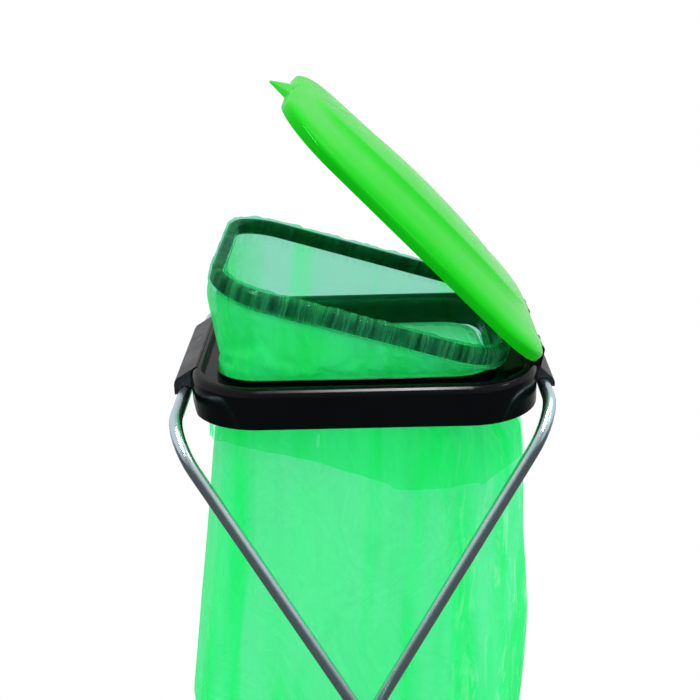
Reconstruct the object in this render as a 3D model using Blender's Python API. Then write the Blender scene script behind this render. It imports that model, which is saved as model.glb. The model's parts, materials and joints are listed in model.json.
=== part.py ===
"""Folding plastic bag holder: a scissor stand of bent steel tube, a moulded rim with a hinged
clamp ring that the bag's mouth is folded over, and a hinged lid.

Metres, +Z up.  The origin is on the floor under the middle of the stand.  X runs from the free
edge of the lid (-X) to its hinge (+X), and Y runs along the tubes that the rim hangs on.
The stand is open, the clamp ring is raised and the lid is half open.
"""
import math

import bmesh
import bpy
from mathutils import Matrix, Vector

# ---- scissor stand ----
TUBE_RADIUS = 0.008
TUBE_WALL = 0.0012
BEND_RADIUS = 0.054
TOP_BAR_X = 0.2232          # each top bar's distance from the middle
TOP_BAR_Z = 0.8457
PIVOT_Z = 0.4267            # the scissor pivot, in the plane X = 0
OUTER_LEG_Y = 0.226         # the two U-shaped leg frames, one inside the other
INNER_LEG_Y = 0.190

# ---- rim ----
RIM_WIDTH = 0.428
RIM_DEPTH = 0.360
RIM_CORNER = 0.088
RIM_BASE_Z = 0.829
RIM_HEIGHT = 0.050
RIM_WALL = 0.003
BEAD_WIDTH = 0.014          # raised bead round the rim's outer edge
LEDGE_DROP = 0.009          # the clamp ring's ledge lies this far below the bead
OPENING_INSET = 0.034       # from the outer face to the opening, but for its right side
INNER_WALL = 0.025
LIP_WALL = 0.002            # lip between the ledge and the opening, as high as the bead
OPENING_SHORT = 0.018       # the opening's right side lies this much further in, past the hinges

# ---- clips over the top bars ----
CLIP_LENGTH = 0.195
CLIP_RADIUS = 0.0136
CLIP_BORE = 0.0086
CLIP_WEB_TOP = 0.022        # above the bar's axis, at the rim's face
CLIP_LIP_DROP = 0.003       # the outer lip ends this far below the bar's axis
SCREW_Y = 0.070
SCREW_RISE = 0.0145         # above the bar's axis

# ---- shared hinge of the lid and the clamp ring ----
HINGE_X = 0.2185
HINGE_Z = 0.889
HINGE_Y = 0.071             # middle of each hinge
PIN_RADIUS = 0.002
KNUCKLE_RADIUS = 0.005
LUG_RADIUS = 0.0055
LUG_WIDTH = 0.005
LID_KNUCKLE_WIDTH = 0.023
ARM_WIDTH = 0.008

# ---- clamp ring ----
RING_WIDTH = 0.374
RING_DEPTH = 0.322
RING_CORNER = 0.070
RING_BAND = 0.0125
RING_HEIGHT = 0.020
RING_RIGHT_X = 0.178
RING_RAISED = math.radians(17.0)

# ---- lid ----
LID_LENGTH = 0.434
LID_DEPTH = 0.346
LID_CORNER = 0.082
LID_RIGHT_X = 0.2200
LID_BASE_Z = 0.8802
LID_WALL = 0.0025
LID_SKIRT = 0.008           # straight part of the border
SHOULDER_RUN = 0.022        # the rounded shoulder runs this far inwards
SHOULDER_RISE = 0.008       # and rises this much
LID_BOW = 0.022             # the middle's extra height, which fades out towards all four sides
PANEL_X = 0.190             # half axes of the raised oval panel on top
PANEL_Y = 0.075
PANEL_STEP = 0.0014
TAB_REACH = 0.024
TAB_WIDTH = 0.080
LID_OPEN = math.radians(46.4)

# ---- bag ----
FILM = 0.0008
BAG_NECK = (0.336, 0.286, 0.050)    # width, depth and corner radius in the rim's opening
BAG_NECK_X = -OPENING_SHORT / 2
BAG_BOTTOM_Z = 0.120

# ---- scissor pivot hardware ----
BOLT_RADIUS = 0.003
BOLT_HEAD_RADIUS = 0.0055
SPACER_RADIUS = 0.0065
WASHER_RADIUS = 0.0065
WASHER_THICKNESS = 0.0011
NUT_RADIUS = 0.0057         # across the corners
NUT_THICKNESS = 0.006

# ---- feet ----
FOOT_RADIUS = 0.0115
FOOT_HEIGHT = 0.040         # along the leg
FOOT_SOLE = 0.012           # solid end below the tube, along the leg

GAP = 0.0003                # between pieces that touch
RUNNING = 0.0003            # round a pin in its hole
RIM_TOP_Z = RIM_BASE_Z + RIM_HEIGHT
SLOPE = math.atan2(TOP_BAR_Z - PIVOT_Z, TOP_BAR_X)
LEG_LENGTH = TOP_BAR_Z / math.sin(SLOPE)
RING_BASE_Z = RIM_TOP_Z - LEDGE_DROP + GAP
HINGE = Vector((HINGE_X, 0, HINGE_Z))


def material(name, colour, roughness, metallic=0.0, alpha=1.0):
    """A Principled material of one colour."""
    made = bpy.data.materials.new(name)
    made.use_nodes = True
    shader = made.node_tree.nodes["Principled BSDF"]
    shader.inputs["Base Color"].default_value = (*colour, 1.0)
    shader.inputs["Roughness"].default_value = roughness
    shader.inputs["Metallic"].default_value = metallic
    shader.inputs["Alpha"].default_value = alpha
    return made


def add_object(name, bm, look, smooth_angle=35.0):
    """Put a bmesh into the scene as one named object with outward faces."""
    bmesh.ops.recalc_face_normals(bm, faces=bm.faces)
    if bm.calc_volume(signed=True) < 0:
        bmesh.ops.reverse_faces(bm, faces=bm.faces)
    mesh = bpy.data.meshes.new(name)
    bm.to_mesh(mesh)
    bm.free()
    mesh.shade_smooth()
    mesh.set_sharp_from_angle(angle=math.radians(smooth_angle))
    if look:
        mesh.materials.append(look)
    placed = bpy.data.objects.new(name, mesh)
    bpy.context.collection.objects.link(placed)
    return placed


def cutter_object(name, bm):
    """A shape used only by a Boolean modifier."""
    cutter = add_object(name, bm, None)
    cutter.hide_render = True
    cutter.display_type = "WIRE"
    return cutter


def boolean(target, other, operation):
    """Cut or join a target with another object, by a modifier that stays on it."""
    step = target.modifiers.new(operation.lower(), "BOOLEAN")
    step.operation = operation
    step.object = other
    step.solver = "EXACT"


def rounded_rectangle(width, depth, corner, z, centre_x=0.0, steps=12):
    """A level outline with quarter-circle corners, counter-clockwise seen from above."""
    half_x = width / 2
    half_y = depth / 2
    corner = min(corner, half_x - 1e-4, half_y - 1e-4)
    points = []
    for quarter, (sx, sy) in enumerate(((1, 1), (-1, 1), (-1, -1), (1, -1))):
        for k in range(steps + 1):
            turn = math.radians(90 * (quarter + k / steps))
            x = sx * (half_x - corner) + corner * math.cos(turn)
            y = sy * (half_y - corner) + corner * math.sin(turn)
            points.append(Vector((x + centre_x, y, z)))
    return points


def loft(rings, closed):
    """Skin rings of equal length: closed joins the last to the first, else both ends are capped."""
    bm = bmesh.new()
    rows = [[bm.verts.new(p) for p in ring] for ring in rings]
    pairs = list(zip(rows, rows[1:]))
    if closed:
        pairs.append((rows[-1], rows[0]))
    else:
        bm.faces.new(rows[0])
        bm.faces.new(rows[-1])
    for low, high in pairs:
        for k in range(len(low)):
            after = (k + 1) % len(low)
            bm.faces.new((low[k], low[after], high[after], high[k]))
    return bm


def extrude_outline(outline, start_y, end_y):
    """A prism along Y from an outline of (x, z) points."""
    rings = [[Vector((x, y, z)) for x, z in outline] for y in (start_y, end_y)]
    return loft(rings, closed=False)


def arc(centre_x, centre_z, radius, start_deg, end_deg, steps):
    """Points (x, z) on an arc."""
    turns = [math.radians(start_deg + (end_deg - start_deg) * k / steps) for k in range(steps + 1)]
    return [(centre_x + radius * math.cos(t), centre_z + radius * math.sin(t)) for t in turns]


def rod(radius, start, end, sides=32):
    """A solid round bar between two points."""
    bm = bmesh.new()
    length = (end - start).length
    bmesh.ops.create_cone(bm, cap_ends=True, segments=sides, radius1=radius, radius2=radius, depth=length)
    turn = (end - start).to_track_quat("Z", "Y").to_matrix().to_4x4()
    bm.transform(Matrix.Translation((start + end) / 2) @ turn)
    return bm


def y_rod(radius, x, z, start_y, end_y, sides=32):
    """A solid round bar along Y."""
    return rod(radius, Vector((x, start_y, z)), Vector((x, end_y, z)), sides)


def box(low, high):
    """A plain block between two corners."""
    bm = bmesh.new()
    bmesh.ops.create_cube(bm, size=1.0)
    size = Vector(high) - Vector(low)
    middle = (Vector(high) + Vector(low)) / 2
    bm.transform(Matrix.Translation(middle) @ Matrix.Diagonal((*size, 1.0)))
    return bm


# ---- leg frames ----

def leg_path(side, half_depth):
    """Centre line of one U: up a leg, along the top bar and down the other leg.

    side is -1 for the frame whose top bar is on the left.
    """
    down = Vector((-side * math.cos(SLOPE), 0, -math.sin(SLOPE)))
    top = Vector((side * TOP_BAR_X, 0, TOP_BAR_Z))
    leg_end = LEG_LENGTH - FOOT_SOLE - GAP
    half = [(leg_end, half_depth)]
    for k in range(9):
        turn = math.radians(90 * k / 8)
        along = BEND_RADIUS * (1 - math.sin(turn))
        out = half_depth - BEND_RADIUS * (1 - math.cos(turn))
        half.append((along, out))
    path = [(along, -out) for along, out in half] + [(along, out) for along, out in reversed(half)]
    return [top + down * along + Vector((0, y, 0)) for along, y in path]


def swept_ring(path, index, radius, normal, sides):
    """A circle round the path at one of its points, square to the path's mean direction there."""
    before = path[max(index - 1, 0)]
    after = path[min(index + 1, len(path) - 1)]
    forward = (after - before).normalized()
    side = normal.cross(forward).normalized()
    turns = [2 * math.pi * k / sides for k in range(sides)]
    return [path[index] + side * (radius * math.cos(t)) + normal * (radius * math.sin(t)) for t in turns]


def leg_frame(name, side, half_depth, look):
    """A bent tube, open at both ends, drilled through both legs for the scissor bolts."""
    path = leg_path(side, half_depth)
    normal = Vector((math.sin(SLOPE), 0, -side * math.cos(SLOPE)))
    sides = 20
    outside = [swept_ring(path, k, TUBE_RADIUS, normal, sides) for k in range(len(path))]
    bore = [swept_ring(path, k, TUBE_RADIUS - TUBE_WALL, normal, sides) for k in range(len(path))]
    tube = add_object(name, loft(outside + bore[::-1], closed=True), look)
    reach = OUTER_LEG_Y + 0.03
    drill = y_rod(BOLT_RADIUS + RUNNING, 0, PIVOT_Z, -reach, reach, 24)
    boolean(tube, cutter_object(name + "_drill", drill), "DIFFERENCE")
    return tube


def foot_cap(name, side, y, look):
    """A plastic cap on a leg's end with a flat sole; side is where the foot stands."""
    up = Vector((-side * math.cos(SLOPE), 0, math.sin(SLOPE)))
    floor_x = TOP_BAR_X * PIVOT_Z / (TOP_BAR_Z - PIVOT_Z)
    floor = Vector((side * floor_x, y, 0))
    cap = add_object(name, rod(FOOT_RADIUS, floor - up * 0.02, floor + up * FOOT_HEIGHT, 28), look)
    socket = rod(TUBE_RADIUS + GAP, floor + up * FOOT_SOLE, floor + up * (FOOT_HEIGHT + 0.01), 28)
    boolean(cap, cutter_object(name + "_socket", socket), "DIFFERENCE")
    ground = box((floor.x - 0.05, y - 0.05, -0.06), (floor.x + 0.05, y + 0.05, 0))
    boolean(cap, cutter_object(name + "_ground", ground), "DIFFERENCE")
    return cap


def pivot_hardware(place, side_y, steel):
    """The scissor bolt of one side, with its washers, spacer and nut."""
    outer_face = OUTER_LEG_Y + TUBE_RADIUS
    between_out = OUTER_LEG_Y - TUBE_RADIUS
    between_in = INNER_LEG_Y + TUBE_RADIUS
    inner_face = INNER_LEG_Y - TUBE_RADIUS
    washer_out = outer_face + GAP
    head = washer_out + WASHER_THICKNESS + GAP
    washer_in = inner_face - GAP
    nut_out = washer_in - WASHER_THICKNESS - GAP
    nut_in = nut_out - NUT_THICKNESS
    bore = BOLT_RADIUS + RUNNING

    def turned(name, radius, start, end, hole, sides=28):
        piece = add_object(name, y_rod(radius, 0, PIVOT_Z, side_y * start, side_y * end, sides), steel)
        if hole:
            drill = y_rod(bore, 0, PIVOT_Z, side_y * (start + 0.01), side_y * (end - 0.01), 24)
            boolean(piece, cutter_object(name + "_bore", drill), "DIFFERENCE")
        return piece

    profile = [(0.0028, head + 0.0031), (0.0047, head + 0.0020), (BOLT_HEAD_RADIUS, head)]
    profile += [(BOLT_RADIUS, head), (BOLT_RADIUS, nut_in - 0.0025), (BOLT_RADIUS - 0.0005, nut_in - 0.003)]
    turns = [2 * math.pi * k / 24 for k in range(24)]
    rings = []
    for radius, y in profile:
        ring = [(radius * math.cos(turn), PIVOT_Z + radius * math.sin(turn)) for turn in turns]
        rings.append([Vector((x, side_y * y, z)) for x, z in ring])
    add_object("pivot_bolt_" + place, loft(rings, closed=False), steel)
    turned("pivot_outer_washer_" + place, WASHER_RADIUS, washer_out + WASHER_THICKNESS, washer_out, True)
    turned("pivot_spacer_" + place, SPACER_RADIUS, between_out - GAP, between_in + GAP, True)
    turned("pivot_inner_washer_" + place, WASHER_RADIUS, washer_in, washer_in - WASHER_THICKNESS, True)
    turned("pivot_nut_" + place, NUT_RADIUS, nut_out, nut_in, True, 6)


# ---- rim and clips ----

def rim_profile():
    """Section of the rim as (inset from the outer face, height): an upside-down channel."""
    top = RIM_HEIGHT
    ledge = RIM_HEIGHT - LEDGE_DROP
    wall = RIM_WALL
    shoulder = []
    for k in range(6):
        turn = math.radians(90 * k / 5)
        shoulder.append((0.009 * (1 - math.cos(turn)), top - 0.011 * (1 - math.sin(turn))))
    inner_edge = [(BEAD_WIDTH - 0.0015, top), (BEAD_WIDTH, top - 0.0015)]
    ledge_line = [(BEAD_WIDTH, ledge), (OPENING_INSET - LIP_WALL, ledge)]
    ledge_line += [(OPENING_INSET - LIP_WALL, top - 0.0005), (OPENING_INSET - LIP_WALL + 0.0005, top)]
    ledge_line += [(OPENING_INSET - 0.0005, top), (OPENING_INSET, top - 0.0005)]
    inner_wall = [(OPENING_INSET, ledge - INNER_WALL), (OPENING_INSET - wall, ledge - INNER_WALL)]
    under = [(OPENING_INSET - wall, ledge - wall), (BEAD_WIDTH - wall, ledge - wall)]
    under += [(BEAD_WIDTH - wall, top - wall), (0.009, top - wall), (0.0045, top - 0.0055)]
    under += [(wall, top - 0.011), (wall, 0.0)]
    return [(0.0, 0.0)] + shoulder + inner_edge + ledge_line + inner_wall + under


def rim_frame(look):
    """The moulded rim, grooved for the clamp ring, with lugs and a relief for the left top bar."""
    rings = []
    for inset, height in rim_profile():
        short = OPENING_SHORT if inset > (BEAD_WIDTH + OPENING_INSET) / 2 else 0.0
        width = RIM_WIDTH - 2 * inset - short
        depth = RIM_DEPTH - 2 * inset
        rings.append(rounded_rectangle(width, depth, RIM_CORNER - inset, RIM_BASE_Z + height, -short / 2))
    rim = add_object("rim_frame", loft(rings, closed=True), look)
    for sign in (-1, 1):
        for lug_low in hinge_places()["lugs"]:
            low_y, high_y = sorted((sign * lug_low, sign * (lug_low + LUG_WIDTH)))
            boolean(rim, cutter_object("lug_shape", hinge_lug(low_y, high_y)), "UNION")
        pin = y_rod(PIN_RADIUS + RUNNING, HINGE_X, HINGE_Z, sign * 0.040, sign * 0.110, 20)
        boolean(rim, cutter_object("lug_bore", pin), "DIFFERENCE")
    release = 0.026
    slant = release * 0.506
    capsule = arc(-TOP_BAR_X, TOP_BAR_Z, TUBE_RADIUS + 0.0009, 206, 26, 12)
    capsule += arc(-TOP_BAR_X + slant, TOP_BAR_Z - release, TUBE_RADIUS + 0.0009, 26, -154, 12)
    relief = extrude_outline(capsule, -0.140, 0.140)
    boolean(rim, cutter_object("rim_relief", relief), "DIFFERENCE")
    for sx in (-1, 1):
        for sy in (-1, 1):
            z = TOP_BAR_Z + SCREW_RISE
            start = Vector((sx * (RIM_WIDTH / 2 - 0.008), sy * SCREW_Y, z))
            end = Vector((sx * (RIM_WIDTH / 2 + 0.002), sy * SCREW_Y, z))
            boolean(rim, cutter_object("rim_screw_hole", rod(0.0024, start, end, 20)), "DIFFERENCE")
    return rim


def hinge_places():
    """Where each hinge's pieces lie along Y on the +Y side, from the middle outwards."""
    inner_lug = 0.049
    arm = inner_lug + LUG_WIDTH + GAP * 2
    knuckle = arm + ARM_WIDTH + GAP * 2
    outer_lug = knuckle + LID_KNUCKLE_WIDTH + GAP * 2
    return {"lugs": (inner_lug, outer_lug), "arm": arm, "knuckle": knuckle, "end": outer_lug + LUG_WIDTH}


def hinge_lug(low_y, high_y):
    """A lug standing on the rim's edge, round at the top about the hinge pin."""
    base = RIM_TOP_Z - 0.0105
    outline = arc(HINGE_X, HINGE_Z, LUG_RADIUS, -10, 180, 12)
    outline += [(HINGE_X - LUG_RADIUS - 0.004, RIM_TOP_Z - 0.0015)]
    outline += [(RIM_WIDTH / 2 - 0.0025, base), (HINGE_X + 0.0015, base)]
    return extrude_outline(outline, low_y, high_y)


def clip(name, side, look):
    """A saddle clip hooked over a top bar and screwed to the rim's side."""
    face = RIM_WIDTH / 2 + GAP - TOP_BAR_X
    outer = arc(0, 0, CLIP_RADIUS, -12.7, 62, 12)
    web = [(face + 0.006, CLIP_WEB_TOP - 0.0005), (face, CLIP_WEB_TOP - 0.002)]
    inner_angle = 140
    low = CLIP_BORE * math.sin(math.radians(inner_angle))
    bore = arc(0, 0, CLIP_BORE, inner_angle, -20, 16)
    outline = outer + web + [(face, low)] + bore
    section = [(side * (TOP_BAR_X + x), TOP_BAR_Z + z) for x, z in outline]
    made = add_object(name, extrude_outline(section, -CLIP_LENGTH / 2, CLIP_LENGTH / 2), look)
    for sy in (-1, 1):
        z = TOP_BAR_Z + SCREW_RISE
        start = Vector((side * (RIM_WIDTH / 2 - 0.002), sy * SCREW_Y, z))
        end = Vector((side * (RIM_WIDTH / 2 + 0.0085), sy * SCREW_Y, z))
        boolean(made, cutter_object(name + "_hole", rod(0.0022, start, end, 20)), "DIFFERENCE")
    return made


def clip_screw(name, side, y, steel):
    """A pan-head screw from inside the rim's channel into the clip."""
    z = TOP_BAR_Z + SCREW_RISE
    inside = RIM_WIDTH / 2 - RIM_WALL - GAP
    profile = [(inside - 0.0022, 0.0022), (inside - 0.0012, 0.0036), (inside, 0.0038)]
    profile += [(inside, 0.0018), (inside + 0.0095, 0.0018), (inside + 0.0108, 0.0010)]
    rings = []
    for x, radius in profile:
        turns = [2 * math.pi * k / 20 for k in range(20)]
        circle = [(y + radius * math.cos(t), z + radius * math.sin(t)) for t in turns]
        rings.append([Vector((side * x, *point)) for point in circle])
    return add_object(name, loft(rings, closed=False), steel)


def hinge_pin(name, sign, steel):
    """The pin shared by one lid knuckle and one clamp ring arm."""
    places = hinge_places()
    start = sign * (places["lugs"][0] - 0.001)
    end = sign * (places["end"] + 0.001)
    return add_object(name, y_rod(PIN_RADIUS, HINGE_X, HINGE_Z, start, end, 20), steel)


# ---- clamp ring ----

def clamp_ring(look):
    """The hoop that the bag's mouth is folded over; its origin is on the hinge."""
    chamfer = 0.003
    band = RING_BAND
    height = RING_HEIGHT
    profile = [(0, chamfer), (0, height - chamfer), (chamfer, height), (band - chamfer, height)]
    profile += [(band, height - chamfer), (band, chamfer), (band - chamfer, 0), (chamfer, 0)]
    centre = RING_RIGHT_X - RING_WIDTH / 2 - HINGE_X
    rings = []
    for inset, z in profile:
        size = (RING_WIDTH - 2 * inset, RING_DEPTH - 2 * inset, RING_CORNER - inset)
        rings.append(rounded_rectangle(*size, RING_BASE_Z + z - HINGE_Z, centre))
    ring = add_object("clamp_ring", loft(rings, closed=True), look)
    places = hinge_places()
    for sign in (-1, 1):
        low_y, high_y = sorted((sign * places["arm"], sign * (places["arm"] + ARM_WIDTH)))
        inner_x = RING_RIGHT_X - HINGE_X - 0.004
        outline = arc(0, 0, KNUCKLE_RADIUS, -90, 90, 12)
        outline += [(-0.012, 0.0035), (inner_x, 0.0005), (inner_x, -0.0075), (-0.012, -0.0075)]
        arm = cutter_object("arm_shape", extrude_outline(outline, low_y, high_y))
        pin = cutter_object("arm_bore", y_rod(PIN_RADIUS + RUNNING, 0, 0, low_y - 0.01, high_y + 0.01, 20))
        for helper, operation in ((arm, "UNION"), (pin, "DIFFERENCE")):
            helper.parent = ring
            boolean(ring, helper, operation)
    ring.location = HINGE
    ring.rotation_euler.y = RING_RAISED
    return ring


# ---- lid ----

def subdivided_outline(width, depth, corner, along_x=8, along_y=6, in_corner=9):
    """A rounded rectangle in plan as (x, y), with points along its straight sides too."""
    points = []
    for quarter, (sx, sy) in enumerate(((1, 1), (-1, 1), (-1, -1), (1, -1))):
        for k in range(in_corner):
            turn = math.radians(90 * (quarter + k / in_corner))
            x = sx * (width / 2 - corner) + corner * math.cos(turn)
            y = sy * (depth / 2 - corner) + corner * math.sin(turn)
            points.append((x, y))
        turn = math.radians(90 * (quarter + 1))
        x = sx * (width / 2 - corner) + corner * math.cos(turn)
        y = sy * (depth / 2 - corner) + corner * math.sin(turn)
        count = along_y if quarter % 2 else along_x
        run = depth - 2 * corner if quarter % 2 else width - 2 * corner
        for k in range(count):
            points.append((x - math.sin(turn) * run * k / count, y + math.cos(turn) * run * k / count))
    return points


def lid_height(x, y, inset):
    """Height of the lid's outer face above its edge; x and y are from the lid's middle."""
    turned_in = 1 - min(inset / SHOULDER_RUN, 1)
    bow = (1 - (2 * x / LID_LENGTH) ** 2) * (1 - (2 * y / LID_DEPTH) ** 2)
    return LID_SKIRT + SHOULDER_RISE * math.sqrt(1 - turned_in ** 2) + LID_BOW * max(bow, 0)


def lid_rings(wall):
    """Rings of one face of the lid from its edge to its middle, relative to the hinge."""
    centre = LID_RIGHT_X - LID_LENGTH / 2 - HINGE_X
    base = LID_BASE_Z - HINGE_Z

    def border(inset):
        return subdivided_outline(LID_LENGTH - 2 * inset, LID_DEPTH - 2 * inset, LID_CORNER - inset)

    rings = [[Vector((x + centre, y, base)) for x, y in border(wall)]]
    for inset in (0.0, 0.0008, 0.003, 0.007, 0.013, SHOULDER_RUN):
        turned_in = 1 - inset / SHOULDER_RUN
        upright = math.sqrt(1 - turned_in ** 2)
        ring = []
        for (x, y), (far_x, far_y) in zip(border(inset), border(inset + wall * turned_in)):
            ring.append(Vector((far_x + centre, far_y, base + lid_height(x, y, inset) - wall * upright)))
        rings.append(ring)
    edge = border(SHOULDER_RUN)
    oval = []
    for x, y in edge:
        turn = math.atan2(2 * y / (LID_DEPTH - 2 * SHOULDER_RUN), 2 * x / (LID_LENGTH - 2 * SHOULDER_RUN))
        oval.append((PANEL_X * math.cos(turn), PANEL_Y * math.sin(turn)))
    half_way = [((x + u) / 2, (y + v) / 2) for (x, y), (u, v) in zip(edge, oval)]
    levels = [(half_way, 0.0), (oval, 0.0)]
    for scale in (0.97, 0.8, 0.6, 0.4, 0.2, 0.05):
        levels.append(([(x * scale, y * scale) for x, y in oval], PANEL_STEP))
    for plan, step in levels:
        lift = base + step - wall
        rings.append([Vector((x + centre, y, lift + lid_height(x, y, SHOULDER_RUN))) for x, y in plan])
    return rings


def lid_tab():
    """The grip tab: a wedge that runs down and outwards from the left end's skirt."""
    left = LID_RIGHT_X - LID_LENGTH - HINGE_X
    base = LID_BASE_Z - HINGE_Z
    half = TAB_WIDTH / 2
    root = [(-half, 0.0006), (half, 0.0006), (half * 0.85, 0.009), (0, 0.0125), (-half * 0.85, 0.009)]
    tip = [(-0.004, -0.0045), (0.004, -0.0045), (0.003, -0.0028), (0, -0.0022), (-0.003, -0.0028)]
    rings = []
    for reach, outline in ((-0.001, root), (TAB_REACH, tip)):
        rings.append([Vector((left - reach, y, base + z)) for y, z in outline])
    return loft(rings, closed=False)


def lid_shell(look):
    """The crowned lid with its grip tab and hinge knuckles; its origin is on the hinge."""
    rings = lid_rings(0.0)[::-1] + lid_rings(LID_WALL)
    lid = add_object("lid_shell", loft(rings, closed=False), look)
    parts = [("tab_shape", lid_tab(), "UNION")]
    places = hinge_places()
    for sign in (-1, 1):
        low_y, high_y = sorted((sign * (places["lugs"][0] - 0.001), sign * (places["end"] + 0.001)))
        window = box((-0.0085, low_y, -0.012), (0.012, high_y, 0.012))
        low_y, high_y = sorted((sign * places["knuckle"], sign * (places["knuckle"] + LID_KNUCKLE_WIDTH)))
        outline = arc(0, 0, KNUCKLE_RADIUS, -90, 90, 12)
        outline += [(-0.014, 0.0084), (-0.014, 0.0055), (-0.006, 0.0005)]
        pin = y_rod(PIN_RADIUS + RUNNING, 0, 0, low_y - 0.01, high_y + 0.01, 20)
        parts += [("lid_window", window, "DIFFERENCE")]
        parts += [("knuckle_shape", extrude_outline(outline, low_y, high_y), "UNION")]
        parts += [("knuckle_bore", pin, "DIFFERENCE")]
    for name, shape, operation in parts:
        helper = cutter_object(name, shape)
        helper.parent = lid
        boolean(lid, helper, operation)
    lid.location = HINGE
    lid.rotation_euler.y = LID_OPEN
    return lid


# ---- bag ----

def bag_body(look):
    """The bag below the rim's opening: a film sack, open at the top, sealed along its bottom edge."""
    neck_width, neck_depth, neck_corner = BAG_NECK
    levels = [(0.864, neck_width, neck_depth, neck_corner, BAG_NECK_X)]      # height, plan and middle X
    levels += [(0.842, neck_width, neck_depth, neck_corner, BAG_NECK_X)]
    levels += [(0.815, 0.384, 0.296, 0.060, -0.001), (0.760, 0.402, 0.300, 0.070, -0.004)]
    levels += [(0.660, 0.416, 0.302, 0.078, -0.009), (0.520, 0.438, 0.298, 0.084, -0.015)]
    levels += [(0.350, 0.446, 0.272, 0.090, -0.017), (0.240, 0.444, 0.226, 0.088, -0.018)]
    levels += [(0.165, 0.434, 0.150, 0.070, -0.018), (BAG_BOTTOM_Z, 0.410, 0.040, 0.018, -0.018)]

    def side(inset):
        rings = []
        for z, width, depth, corner, middle in levels:
            lift = inset if z == BAG_BOTTOM_Z else 0.0
            size = (width - 2 * inset, depth - 2 * inset, corner - inset)
            rings.append(rounded_rectangle(*size, z + lift, middle, steps=8))
        return rings

    return add_object("bag_body", loft(side(0.0)[::-1] + side(FILM), closed=False), look)


def bag_collar(look):
    """The film between the rim's opening and the raised clamp ring."""
    turn = Matrix.Translation(HINGE) @ Matrix.Rotation(RING_RAISED, 4, "Y")

    def side(inset):
        width, depth, corner = BAG_NECK
        neck = (width - 2 * inset, depth - 2 * inset, corner - inset)
        low = rounded_rectangle(*neck, 0.8655, BAG_NECK_X, steps=8)
        lip = rounded_rectangle(*neck, RIM_TOP_Z + FILM + inset, BAG_NECK_X, steps=8)
        middle = RING_BAND / 2 - FILM / 2 + inset
        size = (RING_WIDTH - 2 * middle, RING_DEPTH - 2 * middle, RING_CORNER - middle)
        centre = RING_RIGHT_X - RING_WIDTH / 2 - HINGE_X
        base = RING_BASE_Z - HINGE_Z - 2 * GAP - FILM + inset
        under = rounded_rectangle(*size, base, centre, steps=8)
        return [low, lip, [turn @ p for p in under]]

    shape = loft(side(0.0) + side(FILM)[::-1], closed=True)
    bmesh.ops.triangulate(shape, faces=shape.faces[:], quad_method="SHORT_EDGE")
    return add_object("bag_collar", shape, look)


def build():
    """Make every piece of the bag holder."""
    for old in list(bpy.data.objects):
        bpy.data.objects.remove(old, do_unlink=True)
    zinc = material("zinc_plated_tube", (0.46, 0.54, 0.56), 0.28, 1.0)
    steel = material("bright_steel", (0.60, 0.62, 0.64), 0.3, 1.0)
    black = material("black_gloss_plastic", (0.012, 0.014, 0.018), 0.22)
    satin = material("charcoal_plastic", (0.030, 0.033, 0.037), 0.45)
    green = material("green_gloss_plastic", (0.015, 0.62, 0.035), 0.25)
    film = material("green_bag_film", (0.05, 0.75, 0.20), 0.35, 0.0, 0.6)

    leg_frame("outer_leg_frame", -1, OUTER_LEG_Y, zinc)
    leg_frame("inner_leg_frame", 1, INNER_LEG_Y, zinc)
    for place, sign in (("front", -1), ("back", 1)):
        foot_cap("outer_foot_cap_" + place, 1, sign * OUTER_LEG_Y, satin)
        foot_cap("inner_foot_cap_" + place, -1, sign * INNER_LEG_Y, satin)
        pivot_hardware(place, sign, steel)
        hinge_pin("hinge_pin_" + place, sign, steel)
        clip_screw("left_clip_screw_" + place, -1, sign * SCREW_Y, steel)
        clip_screw("right_clip_screw_" + place, 1, sign * SCREW_Y, steel)
    rim_frame(black)
    clip("left_clip", -1, satin)
    clip("right_clip", 1, satin)
    clamp_ring(black)
    lid_shell(green)
    bag_body(film)
    bag_collar(film)


build()
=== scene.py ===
"""Looks of the folding plastic bag holder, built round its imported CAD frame."""
import json
import math

import bmesh
import bpy
from mathutils import Matrix, Vector


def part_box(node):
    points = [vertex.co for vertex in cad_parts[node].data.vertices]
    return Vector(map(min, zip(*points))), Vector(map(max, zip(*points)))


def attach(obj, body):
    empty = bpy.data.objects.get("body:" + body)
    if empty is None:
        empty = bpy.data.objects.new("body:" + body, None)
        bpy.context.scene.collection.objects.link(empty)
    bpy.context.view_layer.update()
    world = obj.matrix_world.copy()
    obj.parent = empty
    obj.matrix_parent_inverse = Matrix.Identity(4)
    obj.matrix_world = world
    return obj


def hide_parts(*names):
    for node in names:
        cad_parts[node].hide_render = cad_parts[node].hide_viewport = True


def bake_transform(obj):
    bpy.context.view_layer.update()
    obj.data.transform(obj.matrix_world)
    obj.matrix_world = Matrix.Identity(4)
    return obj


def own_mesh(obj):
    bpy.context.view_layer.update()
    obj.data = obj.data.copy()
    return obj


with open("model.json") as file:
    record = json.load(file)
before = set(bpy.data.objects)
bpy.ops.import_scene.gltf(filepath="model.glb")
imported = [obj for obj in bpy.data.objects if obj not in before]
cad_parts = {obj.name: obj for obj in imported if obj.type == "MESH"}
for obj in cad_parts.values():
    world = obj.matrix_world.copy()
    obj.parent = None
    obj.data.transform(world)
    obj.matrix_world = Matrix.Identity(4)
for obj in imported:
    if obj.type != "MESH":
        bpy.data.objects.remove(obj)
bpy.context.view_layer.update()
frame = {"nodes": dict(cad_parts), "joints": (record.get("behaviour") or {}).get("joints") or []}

# ---- places that the CAD model fixes, in metres ----
JOINTS = {joint["name"]: joint for joint in frame["joints"]}
HINGE = Vector(JOINTS["clamp_ring_hinge"]["pos_m"])
RING_RAISED = math.radians(17.0)
RIM_BASE_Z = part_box("rim_frame")[0].z
LEDGE_Z = RIM_BASE_Z + 0.041
BEAD_TOP_Z = RIM_BASE_Z + 0.050                 # the lugs at the right rise above it
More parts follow.
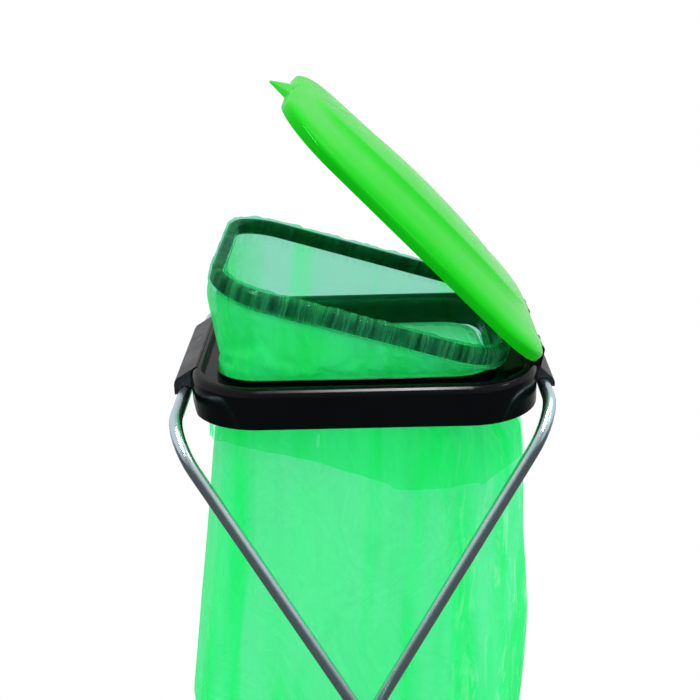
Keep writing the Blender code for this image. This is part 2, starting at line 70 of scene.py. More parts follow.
RING_LEFT_X, RING_RIGHT_X = -0.196, 0.178       # the ring lowered onto its ledge
RING_DEPTH, RING_CORNER, RING_BAND = 0.322, 0.070, 0.0125
RING_BASE_Z = LEDGE_Z + 0.0003
OPENING = (0.342, 0.292, 0.054)                 # the rim's opening and its middle
OPENING_X = -0.009
TOP_BAR_X, TOP_BAR_Z = -0.2232, 0.8457          # the middle of the left top bar
PIVOT_DROP = 0.419                              # from the top bars to the scissor bolts
LEG_SLOPE = math.atan2(PIVOT_DROP, -TOP_BAR_X)

# ---- camera ----
CAMERA_AT = Vector((0.0134, -1.4604, 1.4200))
CAMERA_YAW = math.radians(-1.24)
CAMERA_PITCH = math.radians(20.99)
CAMERA_ROLL = math.radians(-1.77)
CAMERA_LENS = 61.09


def smooth(t):
    """A smooth step from 0 to 1."""
    t = min(max(t, 0.0), 1.0)
    return t * t * (3 - 2 * t)


# ---- materials ----

FILM_MAP = "film"
SHARP_ANGLE = math.radians(40)
WELD_GAP = 0.00002
ROUNDED_EDGE = 0.0004
# What the film does to light, in its plain parts and in its folds: tints colour what passes
# straight through it, bodies what it scatters.
THIN_TINTS = ((0.53, 0.82, 0.73), (0.42, 0.88, 0.64))
# The flap's tints pass more light than the same film elsewhere: painted light that brightens the flap
# where the rim shades it.
FLAP_TINTS_PAINTED_LIGHT = ((0.52, 0.99, 0.76), (0.40, 0.98, 0.66))
THICK_TINTS = ((0.32, 0.94, 0.56), (0.16, 0.97, 0.42))
SACK_BODY = ((0.20, 0.95, 0.53), (0.05, 0.99, 0.34))
# The colour of the painted highlight: glints off the wrinkled film at the right, painted into its base
# colour.
PAINTED_CREASE_GLINT = (0.62, 1.0, 0.82)
COLLAR_BODY = ((0.06, 1.00, 0.38), (0.03, 0.97, 0.27))


def new_material(name):
    """An empty node material: (material, tree, Principled node, output node)."""
    made = bpy.data.materials.new(name)
    made.use_nodes = True
    tree = made.node_tree
    return made, tree, tree.nodes["Principled BSDF"], tree.nodes["Material Output"]


def noise(tree, coordinates, scale, detail, roughness=0.55, distortion=0.0):
    """A noise texture on given coordinates; returns its Fac output."""
    made = tree.nodes.new("ShaderNodeTexNoise")
    made.inputs["Scale"].default_value = scale
    made.inputs["Detail"].default_value = detail
    made.inputs["Roughness"].default_value = roughness
    made.inputs["Distortion"].default_value = distortion
    tree.links.new(coordinates, made.inputs["Vector"])
    return made.outputs["Fac"]


def mapped(tree, scale=(1, 1, 1), rotation=(0, 0, 0)):
    """Object coordinates, rotated and then stretched."""
    source = tree.nodes.new("ShaderNodeTexCoord")
    turned = tree.nodes.new("ShaderNodeMapping")
    turned.vector_type = "POINT"
    turned.inputs["Rotation"].default_value = rotation
    tree.links.new(source.outputs["Object"], turned.inputs["Vector"])
    stretched = tree.nodes.new("ShaderNodeMapping")
    stretched.inputs["Scale"].default_value = scale
    tree.links.new(turned.outputs["Vector"], stretched.inputs["Vector"])
    return stretched.outputs["Vector"]


def ramp(tree, factor, low, high, start, end):
    """Map a factor from start..end to low..high."""
    made = tree.nodes.new("ShaderNodeMapRange")
    made.inputs["From Min"].default_value = start
    made.inputs["From Max"].default_value = end
    made.inputs["To Min"].default_value = low
    made.inputs["To Max"].default_value = high
    tree.links.new(factor, made.inputs["Value"])
    return made.outputs["Result"]


def colour_ramp(tree, factor, stops):
    """A colour ramp from (position, colour) stops."""
    made = tree.nodes.new("ShaderNodeValToRGB")
    elements = made.color_ramp.elements
    while len(elements) < len(stops):
        elements.new(0.5)
    for element, (position, colour) in zip(elements, stops):
        element.position = position
        element.color = (*colour, 1.0)
    tree.links.new(factor, made.inputs["Fac"])
    return made.outputs["Color"]


def bump(tree, height, strength, distance):
    """A bump node; returns its normal."""
    made = tree.nodes.new("ShaderNodeBump")
    made.inputs["Strength"].default_value = strength
    made.inputs["Distance"].default_value = distance
    tree.links.new(height, made.inputs["Height"])
    return made.outputs["Normal"]


def moulded_plastic(name, dark, light, roughness, grain, grain_height, specular):
    """Injection-moulded plastic: slight colour drift, a fine surface and a few dull rubbed patches."""
    made, tree, shader, _ = new_material(name)
    place = mapped(tree)
    broad = noise(tree, place, 9.0, 3.0)
    fine = noise(tree, place, grain, 2.0, 0.6)
    smears = noise(tree, place, 38.0, 5.0, 0.7, 0.6)
    colour = colour_ramp(tree, broad, [(0.3, dark), (0.7, light)])
    tree.links.new(colour, shader.inputs["Base Color"])
    spread = ramp(tree, smears, roughness * 0.85, roughness * 1.3, 0.35, 0.72)
    tree.links.new(spread, shader.inputs["Roughness"])
    tree.links.new(bump(tree, fine, 0.35, grain_height), shader.inputs["Normal"])
    shader.inputs["Specular IOR Level"].default_value = specular
    return made


def zinc_tube(name, slope):
    """Drawn tube with bright zinc plating: fine lines along the tube and a soft mottle."""
    made, tree, shader, _ = new_material(name)
    along = mapped(tree, (1, 1, 0.012), (0, slope, 0))
    lines = noise(tree, along, 900.0, 2.0)
    mottle = noise(tree, mapped(tree), 55.0, 4.0, 0.6)
    colour = colour_ramp(tree, mottle, [(0.3, (0.44, 0.56, 0.60)), (0.7, (0.50, 0.62, 0.66))])
    tree.links.new(colour, shader.inputs["Base Color"])
    tree.links.new(ramp(tree, mottle, 0.25, 0.27, 0.3, 0.7), shader.inputs["Roughness"])
    tree.links.new(bump(tree, lines, 0.03, 0.00002), shader.inputs["Normal"])
    shader.inputs["Metallic"].default_value = 1.0
    return made


def fastener_steel():
    """Bright zinc-plated hardware."""
    made, tree, shader, _ = new_material("fastener_steel")
    mottle = noise(tree, mapped(tree), 320.0, 3.0)
    colour = colour_ramp(tree, mottle, [(0.35, (0.48, 0.50, 0.53)), (0.65, (0.66, 0.67, 0.68))])
    tree.links.new(colour, shader.inputs["Base Color"])
    tree.links.new(ramp(tree, mottle, 0.22, 0.38, 0.3, 0.7), shader.inputs["Roughness"])
    tree.links.new(bump(tree, mottle, 0.1, 0.0001), shader.inputs["Normal"])
    shader.inputs["Metallic"].default_value = 1.0
    return made


def film_places(tree, across, down):
    """Places on the film from its own map, in metres round it and along it, stretched each way."""
    source = tree.nodes.new("ShaderNodeUVMap")
    source.uv_map = FILM_MAP
    stretched = tree.nodes.new("ShaderNodeMapping")
    stretched.inputs["Scale"].default_value = (across, down, 1)
    tree.links.new(source.outputs["UV"], stretched.inputs["Vector"])
    return stretched.outputs["Vector"]


def largest(tree, values):
    """The largest of several values."""
    total = values[0]
    for value in values[1:]:
        made = tree.nodes.new("ShaderNodeMath")
        made.operation = "MAXIMUM"
        tree.links.new(total, made.inputs[0])
        tree.links.new(value, made.inputs[1])
        total = made.outputs["Value"]
    return total


def times(tree, first, second):
    """The product of two values."""
    made = tree.nodes.new("ShaderNodeMath")
    made.operation = "MULTIPLY"
    tree.links.new(first, made.inputs[0])
    tree.links.new(second, made.inputs[1])
    return made.outputs["Value"]


def towards(tree, share, first, second):
    """A colour mixed towards another by a share."""
    made = tree.nodes.new("ShaderNodeMixRGB")
    tree.links.new(share, made.inputs["Fac"])
    tree.links.new(first, made.inputs["Color1"])
    made.inputs["Color2"].default_value = (*second, 1.0)
    return made.outputs["Color"]


def axes(tree, kind):
    """The X, Y and Z outputs of a kind of texture coordinates."""
    source = tree.nodes.new("ShaderNodeTexCoord")
    parts = tree.nodes.new("ShaderNodeSeparateXYZ")
    tree.links.new(source.outputs[kind], parts.inputs["Vector"])
    return [parts.outputs[axis] for axis in "XYZ"]


def by_ray(tree, lit, mirrored, seen):
    """One node's shader for most rays, another's for glossy rays and a third's for the camera's."""
    ray = tree.nodes.new("ShaderNodeLightPath")
    last = lit.outputs[0]
    for kind, other in (("Is Glossy Ray", mirrored), ("Is Camera Ray", seen)):
        mix = tree.nodes.new("ShaderNodeMixShader")
        tree.links.new(ray.outputs[kind], mix.inputs["Fac"])
        tree.links.new(last, mix.inputs[1])
        tree.links.new(other.outputs[0], mix.inputs[2])
        last = mix.outputs[0]
    return last


def bag_film(name, hazes, clouding, unevenness, creases, tints, bodies):
    """Crumpled green film. Part of the light passes straight through, tinted, and a hazy part scatters.

    hazes are the hazy shares where the film hangs single and smooth, and where it lies bunched: above
    the rim, in front and at the left end. unevenness is how far clouds in the film lessen and raise
    them. clouding and creases are numbers per metre, round the film and along it. At the right,
    creases in the film are painted paler: a painted highlight that stands for glints off the wrinkles.
    """
    made, tree, shader, output = new_material(name)
    x, y, z = axes(tree, "Object")
    in_front = ramp(tree, y, 1.0, 0.0, -0.15, -0.04)
    at_left = ramp(tree, x, 0.6, 0.0, -0.19, -0.13)
    gathered = largest(tree, [in_front, at_left])
    bunched = times(tree, gathered, ramp(tree, z, 0.0, 1.0, 0.85, 0.875))
    folds = noise(tree, film_places(tree, 16, 1.1), 1.0, 3.0, 0.5, 0.4)
    clouds = noise(tree, film_places(tree, *clouding), 1.0, 4.0, 0.6, 1.0)
    crumple = noise(tree, film_places(tree, *creases), 1.0, 6.0, 0.6, 1.4)
    tint = colour_ramp(tree, folds, [(0.54, tints[0]), (0.64, tints[1])])
    clear = tree.nodes.new("ShaderNodeBsdfTransparent")
    tree.links.new(tint, clear.inputs["Color"])
    body = colour_ramp(tree, folds, [(0.48, bodies[0]), (0.60, bodies[1])])
    # Painted highlight: at the right, creases are mixed towards a pale colour that stands for glints
    # off the wrinkles.
    at_right = ramp(tree, x, 0.0, 1.0, 0.08, 0.17)
    pale = times(tree, at_right, ramp(tree, crumple, 0.0, 0.8, 0.53, 0.68))
    body = towards(tree, pale, body, PAINTED_CREASE_GLINT)
    tree.links.new(body, shader.inputs["Base Color"])
    tree.links.new(ramp(tree, clouds, 0.16, 0.34, 0.3, 0.7), shader.inputs["Roughness"])
    shader.inputs["Specular IOR Level"].default_value = 0.5
    tree.links.new(bump(tree, crumple, 0.6, 0.0016), shader.inputs["Normal"])
    lit_behind = tree.nodes.new("ShaderNodeBsdfTranslucent")
    tree.links.new(body, lit_behind.inputs["Color"])
    scatter = tree.nodes.new("ShaderNodeMixShader")
    scatter.inputs["Fac"].default_value = 0.55
    tree.links.new(shader.outputs["BSDF"], scatter.inputs[1])
    tree.links.new(lit_behind.outputs["BSDF"], scatter.inputs[2])
    mix = tree.nodes.new("ShaderNodeMixShader")
    cloudy = ramp(tree, clouds, *unevenness, 0.35, 0.65)
    share = times(tree, ramp(tree, bunched, *hazes, 0.0, 1.0), cloudy)
    tree.links.new(share, mix.inputs["Fac"])
    tree.links.new(clear.outputs["BSDF"], mix.inputs[1])
    tree.links.new(scatter.outputs["Shader"], mix.inputs[2])
    tree.links.new(mix.outputs["Shader"], output.inputs["Surface"])
    return made


def dress(nodes, look):
    """Give CAD nodes a material, smooth shading between sharp edges and slightly rounded edges."""
    for name in nodes:
        shown = frame["nodes"][name]
        shown.data.materials.clear()
        shown.data.materials.append(look)
        if "custom_normal" in shown.data.attributes:
            shown.data.attributes.remove(shown.data.attributes["custom_normal"])
        shown.data.shade_smooth()
        weld = shown.modifiers.new("weld", "WELD")
        weld.merge_threshold = WELD_GAP
        rounded = shown.modifiers.new("rounded_edges", "BEVEL")
        rounded.width = ROUNDED_EDGE
        rounded.segments = 2
        rounded.limit_method = "ANGLE"
        rounded.angle_limit = SHARP_ANGLE
        rounded.harden_normals = True


# ---- mesh helpers ----

def mesh_object(name, points, faces, look):
    """A mesh object from points and faces, in the row frame."""
    mesh = bpy.data.meshes.new(name)
    mesh.from_pydata([tuple(p) for p in points], [], faces)
    mesh.update()
    mesh.shade_smooth()
    mesh.materials.append(look)
    placed = bpy.data.objects.new(name, mesh)
    bpy.context.collection.objects.link(placed)
    return placed


SIDE_STEPS = (48, 32, 20)       # points along an X side, a Y side and a corner


def outline(width, depth, corner, centre_x):
    """Points and outward normals round a rounded rectangle, always the same number of them."""
    half_x, half_y = width / 2, depth / 2
    corner = min(corner, half_x - 0.001, half_y - 0.001)
    along_x, along_y, in_corner = SIDE_STEPS
    found = []
    corners = ((1, 1, 0, along_x), (-1, 1, 90, along_y),
               (-1, -1, 180, along_x), (1, -1, 270, along_y))
    for sx, sy, start, straight in corners:
        middle = Vector((sx * (half_x - corner), sy * (half_y - corner), 0))
        for k in range(in_corner):
            turn = math.radians(start + 90 * k / in_corner)
            normal = Vector((math.cos(turn), math.sin(turn), 0))
            found.append((middle + normal * corner, normal))
        turn = math.radians(start + 90)
        normal = Vector((math.cos(turn), math.sin(turn), 0))
        first = middle + normal * corner
        length = 2 * (half_x - corner) if straight == along_x else 2 * (half_y - corner)
        forward = Vector((-normal.y, normal.x, 0))
        for k in range(straight):
            found.append((first + forward * (length * k / straight), normal))
    return [(p + Vector((centre_x, 0, 0)), n) for p, n in found]


def grid_faces(rows, columns):
    """Quads over rows of points that close on themselves, facing out where the rows run upwards."""
    faces = []
    for low in range(0, (rows - 1) * columns, columns):
        high = low + columns
        for k in range(columns):
            after = (k + 1) % columns
            faces.append((low + k, low + after, high + after, high + k))
    return faces


def film_sheet(name, rows, looks):
    """A film object from closed rows of points, with a map of metres round it and along it."""
    count = len(rows[0])
    points = [p for row in rows for p in row]
    made = mesh_object(name, points, grid_faces(len(rows), count), looks[0])
    for look in looks[1:]:
        made.data.materials.append(look)
    along = [0.0]
    for before, row in zip(rows, rows[1:]):
        along.append(along[-1] + sum((b - a).length for a, b in zip(before, row)) / count)
    film_map = made.data.uv_layers.new(name=FILM_MAP)
    for face in made.data.polygons:
        first = min(made.data.loops[k].vertex_index % count for k in face.loop_indices)
        for k in face.loop_indices:
            row, column = divmod(made.data.loops[k].vertex_index, count)
            if first == 0 and column == count - 1:
                column = -1
            film_map.data[k].uv = (column * FILM_WIDTH / count, along[row])
    return made


RING_TURN = (Matrix.Translation(HINGE) @ Matrix.Rotation(RING_RAISED, 4, "Y")
             @ Matrix.Translation(-HINGE))


def ring_outline(outset, height, facing=0):
    """An outline round the raised clamp ring: outset from its outer face, height above its base.

    The normals face outwards, or turned up from there by some degrees, as round the ring's section.
    """
    width = RING_RIGHT_X - RING_LEFT_X + 2 * outset
    centre = (RING_RIGHT_X + RING_LEFT_X) / 2
    level = outline(width, RING_DEPTH + 2 * outset, RING_CORNER + outset, centre)
    lift = Vector((0, 0, RING_BASE_Z + height))
    turn = RING_TURN.to_3x3()
    out, up = math.cos(math.radians(facing)), Vector((0, 0, math.sin(math.radians(facing))))
    return [(RING_TURN @ (p + lift), turn @ (n * out + up)) for p, n in level]


def level_outline(width, depth, corner, z, centre_x=0.0):
    """A level outline at a height."""
    return [(p + Vector((0, 0, z)), n) for p, n in outline(width, depth, corner, centre_x)]


def between(low, high, t):
    """A point row part of the way from one row to another."""
    return [(a.lerp(b, t), (m.lerp(n, t)).normalized()) for (a, m), (b, n) in zip(low, high)]


def ripple(k, count, waves):
    """A sum of sine waves round an outline: waves are (cycles, phase, height)."""
    angle = 2 * math.pi * k / count
    return sum(height * math.sin(cycles * angle + phase) for cycles, phase, height in waves)


# ---- bag ----

# Waves round the bag: cycles, phase and share of the height.
GATHERS = ((23, 0.3, 0.30), (41, 1.7, 0.30), (59, 4.1, 0.25), (83, 2.2, 0.25), (107, 0.9, 0.20))
PLEATS = ((5, 0.8, 0.5), (9, 2.1, 0.4), (14, 4.4, 0.35), (22, 1.2, 0.2))
FILM_WIDTH = 1.36               # round the bag: a sack 0.68 m wide laid flat, 1.12 m long
FLAP_ROWS = 7                   # rows of the collar that hang below the rim
HEM_ROWS = 5                    # rows over which the shape of the hem dies out
HEM_LOW_X, HEM_REACH = 0.085, 0.26
HEM_TOP_Z, HEM_DROP = 0.795, 0.057
NECK_TOP_Z = 0.8805             # the film leaves the rim's opening
NECK_GAP = 0.003                # between the opening's edge and each layer of film
FILM_OFF_RING = 0.0022
RING_SPANS = range(5, 14)       # the collar's spans that lie on the clamp ring
LONG_SPAN = 8                   # rows; a shorter span between held outlines is held too
FINE_WRINKLE = 0.0015
SACK_ROW = 0.009                # the height of one row of the sack
SACK_HELD_Z = 0.831             # the rim holds the sack above this


def settle(cloth, pins, frames, grow, pressure, cap):
    """Let film settle by cloth simulation, held where pins says, and keep the result in its mesh.

    grow is the share by which it may lengthen, and cap the furthest that a point moves.
    """
    mesh = cloth.data
    start = [v.co.copy() for v in mesh.vertices]
    held = cloth.vertex_groups.new(name="held")
    for index, weight in enumerate(pins):
        if weight > 0:
            held.add([index], weight, "REPLACE")
    step = cloth.modifiers.new("settle", "CLOTH")
    film = step.settings
    film.quality = 5
    film.mass = 0.03
    film.tension_stiffness = 12
    film.compression_stiffness = 12
    film.shear_stiffness = 4
    film.bending_stiffness = 0.05
    film.vertex_group_mass = held.name
    film.pin_stiffness = 1
    film.shrink_min = -grow
    film.use_pressure = True
    film.uniform_pressure_force = pressure
    step.collision_settings.use_collision = False
    step.point_cache.frame_start = 1
    step.point_cache.frame_end = frames
    for number in range(1, frames + 1):
        bpy.context.scene.frame_set(number)
    shown = cloth.evaluated_get(bpy.context.evaluated_depsgraph_get())
    moved = [v.co.copy() for v in shown.data.vertices]
    cloth.modifiers.remove(step)
    bpy.context.scene.frame_set(1)
    for vertex, before, after in zip(mesh.vertices, start, moved):
        shift = after - before
        if shift.length > cap:
            shift *= cap / shift.length
        vertex.co = before + shift
    cloth.vertex_groups.clear()
    mesh.update()


def refine(cloth):
    """One round of subdivision."""
    step = cloth.modifiers.new("refine", "SUBSURF")
    step.levels = 1
    step.render_levels = 1


def hem_height(point):
    """Height of the flap's hem: it hangs lowest right of the middle."""
    along = min(abs(point.x - HEM_LOW_X) / HEM_REACH, 1.0)
    return HEM_TOP_Z - HEM_DROP * (0.5 + 0.5 * math.cos(math.pi * along))


def collar(wall, wrap, flap):
    """The film from its hem below the rim, through the opening, over the clamp ring and back down."""
    width, depth, corner = OPENING
    outer_neck, inner_neck = [(width - 2 * gap, depth - 2 * gap, corner - gap)
                              for gap in (NECK_GAP, 2 * NECK_GAP)]
    hem = level_outline(0.419, 0.312, 0.066, 0.783)
    under = RING_BAND + FILM_OFF_RING
    free, held = 0.0, 1.0
    stations = [        # outline, rows up to it, ripple, how firmly it is held
        (hem, 0, 0.004, free),
        (level_outline(0.402, 0.304, 0.062, 0.818, 0.001), HEM_ROWS, 0.003, free),
        (level_outline(*outer_neck, 0.843, OPENING_X), 4, 0.001, held),
        (level_outline(*outer_neck, NECK_TOP_Z, OPENING_X), 3, 0.001, held),
        (ring_outline(0.0005, -0.0035), 14, 0.0010, held),
        (ring_outline(0.0024, 0.001), 2, 0.0014, held),
        (ring_outline(0.0028, 0.010), 3, 0.0016, held),
        (ring_outline(0.0022, 0.0190, 30), 3, 0.0014, held),
        (ring_outline(-0.0005, 0.0230, 80), 2, 0.0022, held),
        (ring_outline(-0.006, 0.0232, 90), 2, 0.0014, held),
        (ring_outline(-0.0120, 0.0230, 100), 2, 0.0014, held),
        (ring_outline(-under, 0.0190, 150), 2, 0.0012, held),
        (ring_outline(-under, 0.001, 180), 5, 0.0010, held),
        (ring_outline(FILM_OFF_RING - under, -0.0035), 2, 0.0008, held),
        (level_outline(*inner_neck, NECK_TOP_Z, OPENING_X), 14, 0.001, held),
        (level_outline(*inner_neck, 0.840, OPENING_X), 3, 0.001, held),
    ]
    rows = [(hem, stations[0][2], free)]
    on_ring = []
    for number, (before, station) in enumerate(zip(stations, stations[1:]), 1):
        start, _, start_wrinkle, start_firm = before
        end, steps, end_wrinkle, end_firm = station
        for step in range(1, steps + 1):
            t = step / steps
            wrinkle = start_wrinkle + (end_wrinkle - start_wrinkle) * t
            firm = end_firm if t == 1 or start_firm and steps < LONG_SPAN else free
            if number in RING_SPANS:
                on_ring.append(len(rows))
            rows.append((between(start, end, t), wrinkle, firm))
    count = len(hem)
    shaped, pins = [], []
    for row, (level, wrinkle, firm) in enumerate(rows):
        waves = GATHERS if row in on_ring or wrinkle < FINE_WRINKLE else PLEATS
        moved = []
        for k, (point, normal) in enumerate(level):
            moved.append(point + normal * (wrinkle * ripple(k, count, waves)))
        for k in range(count if row < HEM_ROWS else 0):
            target = hem_height(moved[k]) + 0.003 * ripple(k, count, PLEATS)
            moved[k].z += (target - hem[k][0].z) * (1 - row / HEM_ROWS)
        shaped.append(moved)
        pins += [firm] * count
    made = film_sheet("bag_collar_film", shaped, [wall, wrap, flap])
    for face in made.data.polygons:
        row = min(face.vertices) // count
        face.material_index = 1 if row in on_ring else 2 if row < FLAP_ROWS else 0
    settle(made, pins, frames=20, grow=0.04, pressure=0.0, cap=0.012)
    refine(made)
    return made


def sack(look):
    """The hanging part of the bag, down to the seal along its bottom."""
    levels = [      # width, depth, corner, height, middle
        (0.328, 0.278, 0.046, 0.846, OPENING_X), (0.336, 0.282, 0.048, 0.834, -0.007),
        (0.392, 0.292, 0.062, 0.818, 0.001), (0.424, 0.294, 0.066, 0.795, 0.001),
        (0.430, 0.296, 0.070, 0.760, 0.001), (0.447, 0.297, 0.078, 0.660, -0.004),
        (0.468, 0.293, 0.084, 0.520, -0.014), (0.489, 0.267, 0.090, 0.350, -0.0265),
        (0.480, 0.220, 0.088, 0.240, -0.026), (0.446, 0.146, 0.070, 0.165, -0.022),
        (0.410, 0.040, 0.018, 0.128, -0.020), (0.406, 0.004, 0.0015, 0.120, -0.020)]
    rows = [level_outline(*levels[0])]
    for above, below in zip(levels, levels[1:]):
        steps = max(2, round((above[3] - below[3]) / SACK_ROW))
        upper, lower = level_outline(*above), level_outline(*below)
        rows += [between(upper, lower, step / steps) for step in range(1, steps + 1)]
    count = len(rows[0])
    shaped, pins = [], []
    for level in reversed(rows):
        height = level[0][0].z
        loose = smooth((0.842 - height) / 0.10) * smooth((height - 0.124) / 0.06)
        wrinkle = 0.0008 + 0.0065 * loose       # smooth at the neck and along the seal
        moved = []
        for k, (point, normal) in enumerate(level):
            moved.append(point + normal * wrinkle * ripple(k, count, PLEATS))
        shaped.append(moved)
        pins += [1.0 if height > SACK_HELD_Z else 0.0] * count
    made = film_sheet("bag_sack_film", shaped, [look])
    settle(made, pins, frames=26, grow=0.05, pressure=0.4, cap=0.020)
    refine(made)
    return made


def build_bag():
    """The film bag: a collar that follows the clamp ring and a sack that follows the rim."""
    wall = bag_film("bag_film_wall", hazes=(0.06, 0.80), clouding=(11, 7), unevenness=(0.85, 1.15),
                    creases=(70, 16), tints=THIN_TINTS, bodies=COLLAR_BODY)
    wrap = bag_film("bag_film_wrap", hazes=(0.10, 0.22), clouding=(120, 8), unevenness=(0.4, 1.9),
                    creases=(240, 20), tints=THIN_TINTS, bodies=COLLAR_BODY)
    # The flap's brighter tints are painted light that lifts the shade under the rim.
    flap = bag_film("bag_film_flap", hazes=(0.10, 0.10), clouding=(11, 7), unevenness=(0.85, 1.15),
                    creases=(70, 16), tints=FLAP_TINTS_PAINTED_LIGHT, bodies=COLLAR_BODY)
    top = collar(wall, wrap, flap)
    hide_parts("bag_collar")
    low = sack(bag_film("bag_film_sack", hazes=(0.84, 0.84), clouding=(11, 7), unevenness=(0.85, 1.12),
                        creases=(55, 9), tints=THICK_TINTS, bodies=SACK_BODY))
    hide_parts("bag_body")
    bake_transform(top)
    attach(low, "rim")
    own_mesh(low)


# ---- left clip ----

CLIP_BORE = 0.0088              # radius
CLIP_HALF_LENGTH = 0.0975
CLIP_EDGE = 0.0006


def build_clip(look):
    """The clip over the left top bar: a broad slab from the rim's bead that hooks over the bar."""
    outside = [(-0.2060, BEAD_TOP_Z + 0.0007), (-0.2092, BEAD_TOP_Z + 0.0003),
               (-0.2125, BEAD_TOP_Z - 0.0022)]
    outside += [(-0.2330, 0.8640), (-0.2358, 0.8600), (-0.2368, 0.8555), (-0.2368, 0.8428)]
    hook = [math.radians(a) for a in range(199, 29, -17)]
    inside = [(TOP_BAR_X + CLIP_BORE * math.cos(a), TOP_BAR_Z + CLIP_BORE * math.sin(a)) for a in hook]
    inside += [(-0.2147, 0.8525), (-0.2147, 0.8690), (-0.2142, 0.8716), (-0.2128, 0.8748)]
    inside += [(-0.2106, 0.8772), (-0.2082, 0.8788), (-0.2060, BEAD_TOP_Z + 0.0001)]
    section = outside + inside
    count = len(section)
    points = [(x, y, z) for y in (-CLIP_HALF_LENGTH, CLIP_HALF_LENGTH) for x, z in section]
    sides = [(k, k + count, (k + 1) % count + count, (k + 1) % count) for k in range(count)]
    ends = [tuple(range(count)), tuple(reversed(range(count, 2 * count)))]
    made = mesh_object("left_clip_slab", points, sides + ends, look)
    shape = bmesh.new()
    shape.from_mesh(made.data)
    bmesh.ops.recalc_face_normals(shape, faces=shape.faces)
    shape.to_mesh(made.data)
    shape.free()
    rounded = made.modifiers.new("rounded_edges", "BEVEL")
    rounded.width = CLIP_EDGE
    rounded.segments = 3
    rounded.limit_method = "ANGLE"
    rounded.angle_limit = math.radians(25)
    rounded.harden_normals = True
    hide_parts("left_clip")
    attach(made, "rim")


# ---- stage ----

def area_light(name, at, target, size, power):
    """A soft square light aimed at a point."""
    lamp = bpy.data.lights.new(name, "AREA")
    lamp.shape = "SQUARE"
    lamp.size = size
    lamp.energy = power
    placed = bpy.data.objects.new(name, lamp)
    placed.location = at
    placed.rotation_euler = (Vector(target) - Vector(at)).to_track_quat("-Z", "Y").to_euler()
    bpy.context.collection.objects.link(placed)


def directional(tree, weights, base):
    """base plus the direction's X size, Y and Z times their weights, kept between 0 and 1."""
    total = None
    for axis, source, weight in zip("XYZ", axes(tree, "Generated"), weights):
        term = tree.nodes.new("ShaderNodeMath")
        term.operation = "MULTIPLY_ADD"
        term.use_clamp = axis == "Z"
        if axis == "X":
            size = tree.nodes.new("ShaderNodeMath")
            size.operation = "ABSOLUTE"
            tree.links.new(source, size.inputs[0])
            source = size.outputs["Value"]
        tree.links.new(source, term.inputs[0])
        term.inputs[1].default_value = weight
        if total:
            tree.links.new(total, term.inputs[2])
        else:
            term.inputs[2].default_value = base
        total = term.outputs["Value"]
    return total


PANEL_LIGHT = 75                # how bright the panel is in reflections


def studio_world():
    """A white room, brightest above and behind, with bright sides and a bright panel in reflections."""
    world = bpy.data.worlds.new("studio")
    world.use_nodes = True
    tree = world.node_tree
    seen = tree.nodes["Background"]
    lit = tree.nodes.new("ShaderNodeBackground")
    mirrored = tree.nodes.new("ShaderNodeBackground")
    tree.links.new(directional(tree, (0.0, 0.25, 0.28), 0.55), lit.inputs["Color"])
    lit.inputs["Strength"].default_value = 2.25
    room = directional(tree, (0.70, 0.15, 0.25), 0.42)
    x, y, z = axes(tree, "Generated")
    deep = times(tree, ramp(tree, y, 0, 1, -0.66, -0.58), ramp(tree, y, 1, 0, -0.10, 0.0))
    wide = times(tree, ramp(tree, x, 0, PANEL_LIGHT, -0.12, 0.06), ramp(tree, x, 1, 0, 0.08, 0.12))
    panel = times(tree, times(tree, deep, wide), ramp(tree, z, 0, 1, 0.4, 0.5))
    tree.links.new(largest(tree, [room, panel]), mirrored.inputs["Color"])
    seen.inputs["Color"].default_value = (1, 1, 1, 1)
    tree.links.new(by_ray(tree, lit, mirrored, seen), tree.nodes["World Output"].inputs["Surface"])
    bpy.context.scene.world = world


def studio_floor():
    """A large white floor, lit evenly where it is seen, and darker in front in reflections."""
    made, tree, shader, output = new_material("floor_white")
    shader.inputs["Base Color"].default_value = (0.42, 0.42, 0.42, 1)
    shader.inputs["Roughness"].default_value = 0.9
    shader.inputs["Specular IOR Level"].default_value = 0.0
    _, y, _ = axes(tree, "Object")
    seen = tree.nodes.new("ShaderNodeEmission")
    mirrored = tree.nodes.new("ShaderNodeEmission")
    tree.links.new(ramp(tree, y, 0.13, 0.85, 0.0, 3.0), mirrored.inputs["Color"])
    tree.links.new(by_ray(tree, shader, mirrored, seen), output.inputs["Surface"])
    half = 40.0
    corners = [(-half, -half, 0), (half, -half, 0), (half, half, 0), (-half, half, 0)]
    mesh_object("floor", corners, [(0, 1, 2, 3)], made)


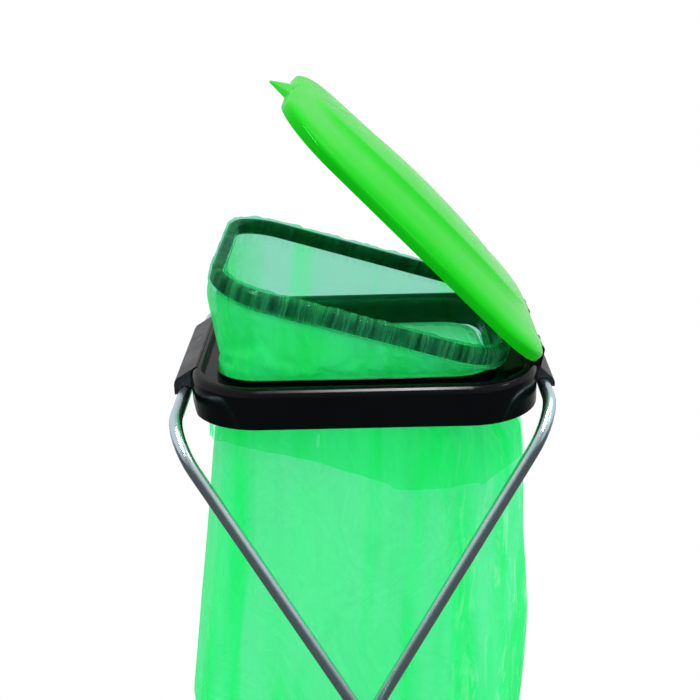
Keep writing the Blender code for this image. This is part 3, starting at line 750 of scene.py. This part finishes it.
def build_stage():
    """A pale floor, soft lights and the camera."""
    studio_floor()
    studio_world()
    area_light("top_right_light", (1.3, 0.5, 2.9), (0, 0, 0.95), 1.4, 16)
    area_light("side_spot", (1.69, -0.68, 2.13), (-0.18, -0.17, 1.14), 0.30, 4)
    bpy.context.scene.view_settings.view_transform = "Standard"

    forward = Vector((math.sin(CAMERA_YAW) * math.cos(CAMERA_PITCH),
                      math.cos(CAMERA_YAW) * math.cos(CAMERA_PITCH), -math.sin(CAMERA_PITCH)))
    level_right = Vector((math.cos(CAMERA_YAW), -math.sin(CAMERA_YAW), 0))
    level_up = level_right.cross(forward)
    right = level_right * math.cos(CAMERA_ROLL) + level_up * math.sin(CAMERA_ROLL)
    up = right.cross(forward)
    camera = bpy.data.cameras.new("camera")
    camera.lens = CAMERA_LENS
    camera.sensor_width = 36.0
    placed = bpy.data.objects.new("camera", camera)
    turn = Matrix((right, up, -forward)).transposed().to_4x4()
    placed.matrix_world = Matrix.Translation(CAMERA_AT) @ turn
    bpy.context.collection.objects.link(placed)
    bpy.context.scene.camera = placed


build_stage()
build_bag()
dress(["outer_leg_frame"], zinc_tube("zinc_outer", math.pi / 2 - LEG_SLOPE))
dress(["inner_leg_frame"], zinc_tube("zinc_inner", LEG_SLOPE - math.pi / 2))
dress([n for n in frame["nodes"] if n.startswith(("pivot_", "hinge_pin")) or "screw" in n],
      fastener_steel())
black = moulded_plastic("black_gloss_plastic", (0.0014, 0.0022, 0.0026), (0.0024, 0.0034, 0.0040),
                        roughness=0.14, grain=420, grain_height=0.00002, specular=0.11)
satin = moulded_plastic("charcoal_plastic", (0.009, 0.011, 0.014), (0.016, 0.018, 0.021),
                        roughness=0.45, grain=900, grain_height=0.0002, specular=0.3)
green = moulded_plastic("green_gloss_plastic", (0.001, 0.42, 0.003), (0.002, 0.46, 0.004),
                        roughness=0.22, grain=260, grain_height=0.00001, specular=0.07)
dress(["rim_frame", "clamp_ring"], black)
dress(["right_clip"] + [n for n in frame["nodes"] if "foot_cap" in n], satin)
build_clip(satin)
dress(["lid_shell"], green)
